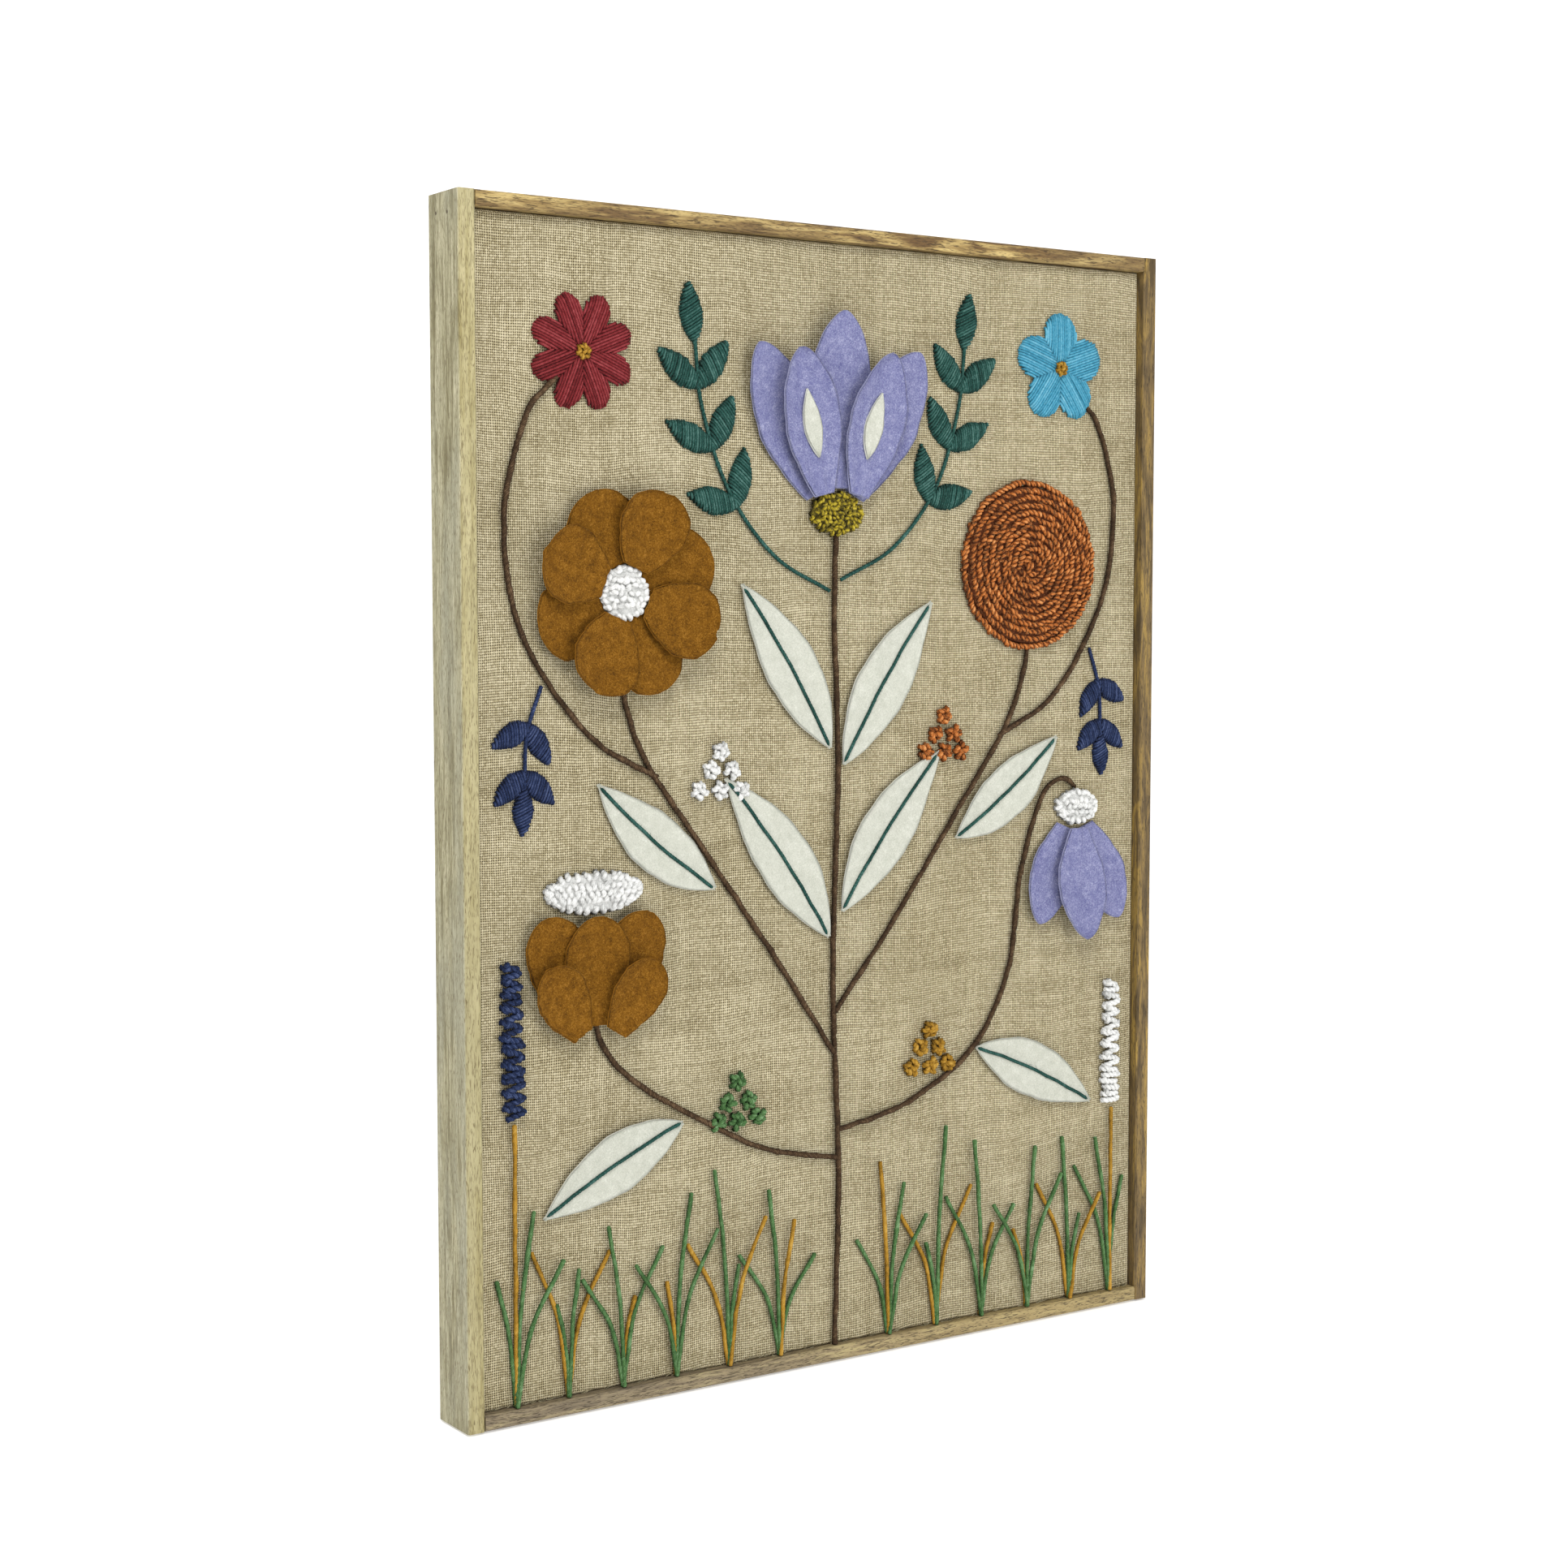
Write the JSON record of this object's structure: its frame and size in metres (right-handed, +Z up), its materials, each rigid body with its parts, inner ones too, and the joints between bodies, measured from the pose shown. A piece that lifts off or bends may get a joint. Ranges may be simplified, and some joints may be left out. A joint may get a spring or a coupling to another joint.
{
  "type": "embroidered wall hanging in a wooden box frame",
  "caption": "Flower posy in felt, tufting and stitched yarn on a jute cloth, wrapped round a stretcher inside a deep butt-jointed wooden frame.",
  "frame": {"origin": "middle of the top board's back face, which lies against the wall", "axes": "+Z up, +Y towards the wall, -Y out of the embroidered front, +X to the viewer's right"},
  "size_m": [0.6, 0.0498, 0.815],
  "materials": {
    "pale_wood": "sanded pale board with fine upright grain",
    "brown_wood": "sanded brown board with wavy grain",
    "stretcher_wood": "planed softwood",
    "jute": "coarse plain weave",
    "cream_felt": "felt",
    "lilac_felt": "felt",
    "ochre_felt": "felt",
    "rust_wool": "tufted yarn loops",
    "mustard_wool": "tufted yarn loops",
    "white_cotton": "tufted yarn loops",
    "brown_wool": "couched twisted yarn",
    "green_wool": "couched twisted yarn",
    "teal_wool": "satin-stitched yarn",
    "navy_wool": "satin-stitched yarn",
    "red_wool": "satin-stitched yarn",
    "sky_cotton": "satin-stitched yarn"
  },
  "bodies": {
    "root": {"frame_left": "pale_wood", "frame_right": "brown_wood", "frame_top": "brown_wood", "frame_bottom": "brown_wood", "stretcher_bottom": "stretcher_wood", "stretcher_right": "stretcher_wood", "stretcher_top": "stretcher_wood", "stretcher_left": "stretcher_wood", "ground_cloth": "jute", "felt_leaf_1": "cream_felt", "felt_leaf_2": "cream_felt", "felt_leaf_3": "cream_felt", "felt_leaf_4": "cream_felt", "felt_leaf_5": "cream_felt", "felt_leaf_6": "cream_felt", "felt_leaf_7": "cream_felt", "felt_leaf_8": "cream_felt", "tulip_petal_1": "lilac_felt", "tulip_petal_2": "lilac_felt", "tulip_petal_3": "lilac_felt", "tulip_petal_4": "lilac_felt", "tulip_petal_5": "lilac_felt", "tulip_slip_left": "cream_felt", "tulip_slip_right": "cream_felt", "tulip_cup": "mustard_wool", "thistle_petal_1": "ochre_felt", "thistle_petal_2": "ochre_felt", "thistle_petal_3": "ochre_felt", "thistle_petal_4": "ochre_felt", "thistle_petal_5": "ochre_felt", "thistle_crown": "white_cotton", "bell_petal_1": "lilac_felt", "bell_petal_2": "lilac_felt", "bell_petal_3": "lilac_felt", "bell_cap": "white_cotton", "daisy_petal_1": "ochre_felt", "daisy_petal_2": "ochre_felt", "daisy_petal_3": "ochre_felt", "daisy_petal_4": "ochre_felt", "daisy_petal_5": "ochre_felt", "daisy_petal_6": "ochre_felt", "daisy_petal_7": "ochre_felt", "daisy_petal_8": "ochre_felt", "daisy_eye": "white_cotton", "dahlia": "rust_wool", "red_flower": "red_wool", "sky_flower": "sky_cotton", "brown_stems": "brown_wool", "teal_frond_left": "teal_wool", "teal_frond_right": "teal_wool", "navy_sprig_left": "navy_wool", "navy_sprig_right": "navy_wool", "navy_spike": "navy_wool", "white_spike": "white_cotton", "white_berries": "white_cotton", "rust_berries": "rust_wool", "green_berries": "green_wool", "mustard_berries": "mustard_wool", "grass_left": "green_wool", "grass_right": "green_wool"}
  },
  "joints": []
}
